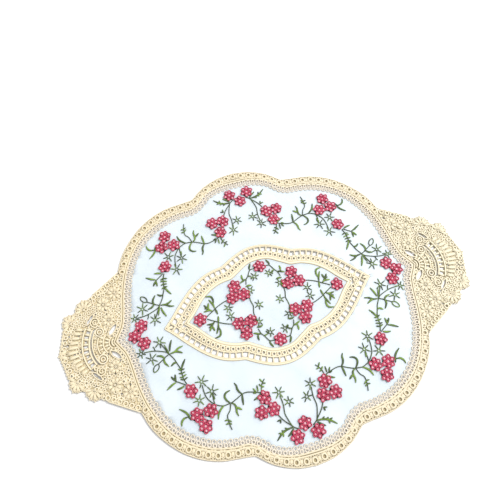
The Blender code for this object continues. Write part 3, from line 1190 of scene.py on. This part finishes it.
@dataclass
class SprigWork:
    """Green sprigs in stem stitch and satin stitch: stars, stems, leaves and ferns that join the berries.

    Each is given for one quarter. A star is its middle and reach, a leaflet the two ends of a short stitch.
    """

    stars: tuple[tuple[float, float, float], ...] = (
        (82.4, 56.8, 6.3), (75, 67.5, 6.2), (88, 72.3, 5.8), (15.3, 84.2, 5.9), (8.7, 94.2, 5.4),
        (113.5, 11.3, 6.3), (123.7, 25, 6.3), (132.5, 17.5, 5.2), (41, 4.3, 5.2), (7.5, 29, 4.8),
        (15.3, 16.3, 4.8), (11, 0, 5.0),
    )
    stems: tuple[tuple[Spot, ...], ...] = (
        ((82.5, 60), (82.4, 65), (81.3, 71), (79, 75), (75.5, 78.8), (72, 81), (67.5, 82.5), (62, 82),
         (59, 81.5), (54, 79.5), (48.6, 77), (44, 76.5), (40, 77.4), (36, 78.5), (31, 80.5)),
        ((75.3, 73.5), (75.2, 76), (75, 79)),
        ((61, 82.5), (63, 88), (66, 91), (66.5, 95), (66, 100), (65, 104)),
        ((31, 81), (29.8, 76), (28, 72.5), (25, 69.2)),
        ((96, 55.5), (97.8, 51), (98.3, 48), (98.7, 43), (99, 40), (101, 35), (103, 30), (106.5, 24.5),
         (111.5, 15), (112.5, 13)),
        ((97, 56), (99.5, 54.3), (103, 52), (105.5, 50.5)),
        ((106.5, 24.5), (109, 22), (113, 20.3), (119, 18.3), (124, 17.5), (130, 17.3)),
        ((119, 18), (119.5, 15.5), (120.5, 13.8)), ((106.5, 24.5), (110, 26), (114, 28.5), (118, 30.8)),
        ((15.3, 87), (14.6, 92), (14.5, 97), (15.2, 103), (13.8, 109), (11.3, 116)),
        ((21.5, 102.5), (19.5, 106), (16.5, 110), (12.5, 114), (10.5, 116.2), (7, 118.6)),
        ((64, 1), (60, 3.5), (57, 5), (54, 7), (50, 9), (45, 11), (40, 12.3)),
        ((18, 23), (16.5, 28), (14, 31), (12, 34.5), (10, 37), (5.5, 37.3)),
        ((17.5, 12.7), (18.1, 7), (16.8, 1.1), (16.6, 0)), ((99, 86.7), (101, 83.5), (103.5, 83.6)),
    )
    leaves: tuple[tuple[Spot, ...], ...] = (
        ((61, 81.8), (63.5, 79), (64.8, 76), (64.3, 73.5), (62, 71.7), (58.6, 71)),
        ((67.5, 82.6), (71, 85), (73.5, 88), (75, 92.5)),
        ((60, 82), (57.5, 84), (56.8, 87), (57.3, 91), (56.3, 94.5)), ((56.8, 86.5), (54.5, 88), (52, 90)),
        ((48.6, 77), (51, 74), (52, 71), (52, 68.5), (53.5, 65.5)),
        ((48.6, 77), (49.3, 81.5), (49.8, 86.5)), ((99.5, 86), (100.5, 82), (103, 78.5), (107.5, 75)),
        ((102, 83.6), (105, 84), (107.5, 86.5), (108.2, 90)), ((75, 69.5), (74.8, 72), (74, 75)),
        ((98.5, 41.5), (96, 37), (93, 32.7)), ((101.3, 34.2), (103.8, 33.8), (107, 36)),
        ((105.6, 22), (104.6, 17.5), (102, 11.8)), ((105.5, 24.3), (101, 23.7), (97, 21.2), (92.5, 20.2)),
        ((102, 23.8), (98, 24.4), (94, 26.6)), ((110.5, 26), (112.3, 28), (112, 31.5), (109, 35.8)),
        ((111.8, 27.2), (114, 24.6), (118.6, 23.2)), ((105.5, 50.8), (105.4, 48), (105, 44.2)),
        ((105.8, 50), (107.5, 47.6), (109, 45.2)), ((105.5, 51.5), (109, 52.6), (115, 56)),
        ((98.5, 56.3), (102, 57.6), (106, 58)), ((11.2, 117), (14, 119.8), (17.8, 122.3)),
        ((11, 116), (15, 116.2), (19, 117), (23, 118.9), (28.3, 123.3)),
        ((31.5, 80.8), (34.5, 83), (39.5, 85)), ((54.8, 11.8), (54, 16), (55.5, 20), (60.7, 21.2)),
        ((54.4, 7.5), (55.2, 11.5), (58.2, 17.5)), ((57.3, 5.3), (60, 7), (65.5, 6.6)),
        ((59, 6), (60.8, 8.6), (64.2, 9.8)), ((60.8, 9), (60, 11.5), (59.3, 14.2)),
        ((61, 9.2), (62.7, 11), (64, 13.4)), ((10.3, 37.2), (10.5, 39), (8.2, 43.5)),
        ((16.5, 28.3), (19, 27.8), (23.5, 25.8)), ((19.8, 28.5), (20.3, 31), (20, 34)),
        ((18.8, 21), (16, 21.4), (12.8, 20.7)), ((54, 7), (53.3, 3.5), (52.8, 1)),
    )
    loops: tuple[tuple[Spot, ...], ...] = (
        ((118, 30.8), (121.3, 31.6), (123.7, 34.6), (123.4, 37.6), (120.2, 36.6), (118, 33.8)),
    )
    leaflets: tuple[tuple[Spot, Spot], ...] = (
        ((66.6, 95), (69.7, 95)), ((66.6, 95), (63.7, 97.6)), ((66.3, 98), (69.4, 98.3)),
        ((66.3, 98), (64, 99.6)), ((98.2, 48), (94.6, 46.8)), ((98.2, 48.5), (101.3, 48)),
        ((98.6, 45), (95.2, 44.2)), ((98.6, 45), (101.6, 44.2)), ((98.8, 42), (95.2, 41.3)),
        ((98.8, 42), (101.2, 40)), ((97.6, 51), (94, 49.6)), ((97.6, 51), (101, 49.8)),
        ((29.6, 75.3), (27, 75.9)), ((29.4, 75), (31.3, 72.3)), ((28, 72.4), (24.8, 73.3)),
        ((27.6, 71.4), (29.6, 68)), ((35.5, 78.3), (37.7, 74.6)), ((33.6, 78.5), (33.4, 72.8)),
        ((38.5, 78.6), (35.5, 79.6)), ((20.2, 107), (24, 107.7)), ((20.5, 106.8), (21.2, 110.2)),
        ((16.5, 116.3), (18.8, 114.5)), ((20, 117.2), (22.3, 116)), ((22, 118.3), (25.6, 117.6)),
        ((21.5, 118.6), (22, 121.5)), ((106.6, 24), (109.6, 14.5)), ((17.2, 16.5), (17, 10.5)),
        ((9.5, 29.5), (11.5, 26.8)), ((14.2, 31), (10.5, 30)),
    )
    star_ring: Ring = Ring(1.45, 0.85, 0.9, 10, 5)
    ray_width: float = 1.15
    stem_width: float = 1.0
    # Stems are of the darker dye, and leaves stand a little higher than they do.
    stem_tone: float = -1.4
    leaf_width: float = 1.95
    leaflet_width: float = 1.5
    height: float = 0.9
    level: float = 0.85

    def star(self, work: Needlework, centre: Spot, radius: float, chance: np.random.Generator) -> None:
        """Work a star: a small ring and six rays that stand off from it."""
        work.rings(self.star_ring, np.array([centre]), self.level)
        turn = chance.uniform(0, 60)
        for k in range(6):
            angle = turn + 60 * k + chance.uniform(-7, 7)
            reach = radius * chance.uniform(0.9, 1.08)
            ray = np.array([polar(centre, r, angle) for r in np.linspace(1.7, reach, 5)])
            taper = np.array([0.7, 1, 1, 0.9, 0.5])
            work.cord(ray, self.ray_width, self.height, self.level, taper=taper, sides=5, tone=-0.4)

    def build(self, green: bpy.types.Material) -> bpy.types.Object:
        """Work all the sprigs in one thread."""
        work = Needlework("sprigs", seed=9)
        chance = np.random.default_rng(10)
        for x, y, radius in self.stars:
            for centre in copies([(x, y)]):
                self.star(work, centre, radius, chance)
        for across, up in QUARTERS:
            for stem in self.stems:
                line, _ = evenly(smooth(stem), 1.8, closed=False)
                stem = mirrored(line, across, up)
                work.cord(stem, self.stem_width, self.height, self.level, sides=5, tone=self.stem_tone)
            for leaf in self.leaves:
                line, _ = evenly(smooth(leaf), 1.2, closed=False)
                share = np.linspace(0, 1, len(line))
                taper = 0.35 + 0.65 * np.sin(math.pi * np.clip(share * 0.92 + 0.06, 0, 1)) ** 0.8
                work.cord(mirrored(line, across, up), self.leaf_width, 0.8, self.level + 0.1, taper=taper)
            for loop in self.loops:
                line, _ = evenly(smooth([*loop, loop[0]])[:-1], 1.5)
                work.cord(mirrored(line, across, up), 1.1, self.height, self.level, closed=True, sides=5)
            for root, tip in self.leaflets:
                line = smooth([root, tip], 4)
                taper = np.array([0.5, 1, 1, 0.9, 0.45])
                leaflet = mirrored(line, across, up)
                work.cord(leaflet, self.leaflet_width, self.height, self.level + 0.1, taper=taper, sides=5)
        return work.finish(green)


# --------------------------------------------------------------------------- sheer ground


@dataclass
class SheerPanel:
    """A panel of organza: a filled outline, cut into a grid so that it lies in waves, and thickened."""

    name: str
    outline: np.ndarray
    hole: np.ndarray | None
    grid: float = 8.0
    thickness: float = 0.15
    level: float = 0.75

    def build(self, material: bpy.types.Material) -> bpy.types.Object:
        """Cut and lay the panel."""
        curve = bpy.data.curves.new(self.name, "CURVE")
        curve.dimensions = "2D"
        curve.fill_mode = "FRONT"
        for loop in [self.outline] + ([] if self.hole is None else [self.hole]):
            spline = curve.splines.new("POLY")
            spline.points.add(len(loop) - 1)
            spline.use_cyclic_u = True
            for target, (x, y) in zip(spline.points, loop):
                target.co = (x * MM, y * MM, 0, 1)
        panel = bpy.data.objects.new(self.name, curve)
        bpy.context.scene.collection.objects.link(panel)
        bpy.ops.object.select_all(action="DESELECT")
        panel.select_set(True)
        bpy.context.view_layer.objects.active = panel
        bpy.ops.object.convert(target="MESH")
        panel = bpy.context.object
        bpy.ops.object.mode_set(mode="EDIT")
        for axis in (0, 1):
            reach = np.abs(self.outline[:, axis]).max()
            for place in np.arange(-reach // self.grid * self.grid, reach, self.grid):
                spot, normal = [0.0] * 3, [0.0] * 3
                spot[axis], normal[axis] = place * MM, 1.0
                bpy.ops.mesh.select_all(action="SELECT")
                bpy.ops.mesh.bisect(plane_co=spot, plane_no=normal)
        bpy.ops.mesh.select_all(action="SELECT")
        bpy.ops.mesh.normals_make_consistent(inside=False)
        bpy.ops.object.mode_set(mode="OBJECT")
        mesh = panel.data
        points = read(mesh.vertices, "co", 3)
        points[:, 2] = (self.level + waves(points[:, 0] / MM, points[:, 1] / MM)) * MM
        mesh.vertices.foreach_set("co", points.ravel())
        wall = panel.modifiers.new("thickness", "SOLIDIFY")
        wall.thickness = self.thickness * MM
        wall.offset = 0
        bpy.ops.object.modifier_apply(modifier=wall.name)
        bpy.ops.object.shade_smooth()
        mesh.materials.clear()
        mesh.materials.append(material)
        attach(panel, "root")
        LOG.info("%s: %d faces", self.name, len(mesh.polygons))
        return panel


# --------------------------------------------------------------------------- surroundings


@dataclass
class Studio:
    """The plain surface, the soft lights and the camera."""

    camera_place: tuple[float, float, float] = (-0.0545, -0.0914, 0.4325)
    camera_tilt: float = 21.35
    camera_turn: float = -14.77
    lens: float = 33.0
    floor_size: float = 6.0

    def build(self) -> None:
        """Set up the floor, the lights and the camera."""
        bpy.ops.object.select_all(action="DESELECT")
        bpy.ops.mesh.primitive_plane_add(size=self.floor_size)
        floor = bpy.context.object
        floor.name = "floor"
        floor.data.materials.append(FloorFinish().material())
        camera = bpy.data.objects.new("camera", bpy.data.cameras.new("camera"))
        bpy.context.scene.collection.objects.link(camera)
        camera.location = self.camera_place
        camera.rotation_euler = (math.radians(self.camera_tilt), 0, math.radians(self.camera_turn))
        camera.data.lens = self.lens
        camera.data.clip_start = 0.01
        bpy.context.scene.camera = camera
        self.lamp("key", (1.7, 0.55, 2.1), 1.3, 76.0)
        world = bpy.data.worlds.new("studio")
        world.use_nodes = True
        sky = world.node_tree.nodes["Background"]
        sky.inputs["Color"].default_value = linear("#FBFCFF")
        sky.inputs["Strength"].default_value = 0.68
        bpy.context.scene.world = world
        bpy.context.scene.view_settings.view_transform = "Standard"

    @staticmethod
    def lamp(name: str, place: tuple[float, float, float], size: float, power: float) -> None:
        """Hang a soft square lamp that looks at the middle of the doily."""
        light = bpy.data.lights.new(name, "AREA")
        light.size = size
        light.energy = power
        lamp = bpy.data.objects.new(name, light)
        lamp.location = place
        lamp.rotation_euler = (-lamp.location).to_track_quat("-Z", "Y").to_euler()
        bpy.context.scene.collection.objects.link(lamp)


def main() -> None:
    """Build the doily piece by piece."""
    logging.basicConfig(level=logging.INFO, format="%(message)s")
    Studio().build()
    # In each thread finish, the first colour is painted shade at the cords' sides and in the stitch grooves,
    # and the third is a painted highlight along their tops.
    cream = ThreadFinish(
        "guipure thread, cream", "#9A8855", "#F4E2BC", "#FBF1D8", "#F6E9C2", faded="#F1E9CC"
    ).material()
    tan = ThreadFinish(
        "guipure thread, deep cream", "#947F4C", "#EAD8B2", "#F2E6CB", "#ECDFB8", faded="#EBE2C8"
    ).material()
    pale = ThreadFinish("guipure thread, ivory", "#B8A684", "#EFE2C8", "#F8EEDE", "#F2E6D2").material()
    red = ThreadFinish("rayon thread, crimson", "#34020B", "#AE0E32", "#E64A70", "#CC1E46").material()
    # The berry padding's near-black colours are painted shade between the loops.
    dark = ThreadFinish("rayon padding, deep crimson", "#26030B", "#420617", "#5C0C24", "#54091F").material()
    pink = ThreadFinish(
        "organza over crimson", "#A81E40", "#D63A60", "#FAD2DA", "#F5AEBE", 1.0, 0.5, patch_size=3.0
    ).material()
    green = ThreadFinish(
        "rayon thread, leaf green", "#080F06", "#142A10", "#A8CC50", "#7A9C2C", 0.95, 0.28, patch_size=4.0
    ).material()
    organza = OrganzaFinish().material()
    band_inner, almond_outer, almond_inner = (whole_loop(q) for q in (BAND_INNER, ALMOND_OUTER, ALMOND_INNER))
    field_outline, field_hole = grown(band_inner, 1.8), grown(almond_outer, -1.2)
    middle_outline = grown(almond_inner, 2.0)
    field_panel = SheerPanel("sheer_ground", field_outline, field_hole).build(organza)
    middle_panel = SheerPanel("sheer_middle", middle_outline, None).build(organza)
    lace, loops = BorderBand().build(tan, pale)
    almond = AlmondBand().build(cream)
    wings = [Wing(side).build(cream) for side in Side]
    berries = BerrySprays().build(red, dark, pink)
    sprigs = SprigWork().build(green)
    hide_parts("sheer_field")
    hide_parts("sheer_centre")
    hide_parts("outer_band")
    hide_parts("almond_band")
    for (ground, _), node in zip(wings, ("wing_left", "wing_right")):
        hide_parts(node)
    border_length = length_of(grown(band_inner, 10))
    border_area = area_of(whole_loop(BAND_OUTER), band_inner)
    insert_length = length_of(grown(almond_outer, -8.5))
    insert_area = area_of(almond_outer, almond_inner)
    wing_area = 2 * area_of(np.vstack([open_path(WING_EDGE), open_path(BAND_OUTER[2:])[::-1]]))
    sheets = (
        (field_panel, 2 * field_outline.max(0) * MM, area_of(field_outline, field_hole), [*berries, sprigs]),
        (middle_panel, 2 * middle_outline.max(0) * MM, area_of(middle_outline), []),
        (lace, (border_area / border_length, border_length), border_area, [loops]),
        (almond, (insert_area / insert_length, insert_length), insert_area, []),
        *((ground, (0.0691, 0.139), wing_area, [stitches]) for ground, stitches in wings),
    )
    for piece, flat, area, others in sheets:
        LOG.info("%s: cut %.4f x %.4f m, %.5f square metres", piece.name, *flat, area)


if __name__ == "__main__":
    main()
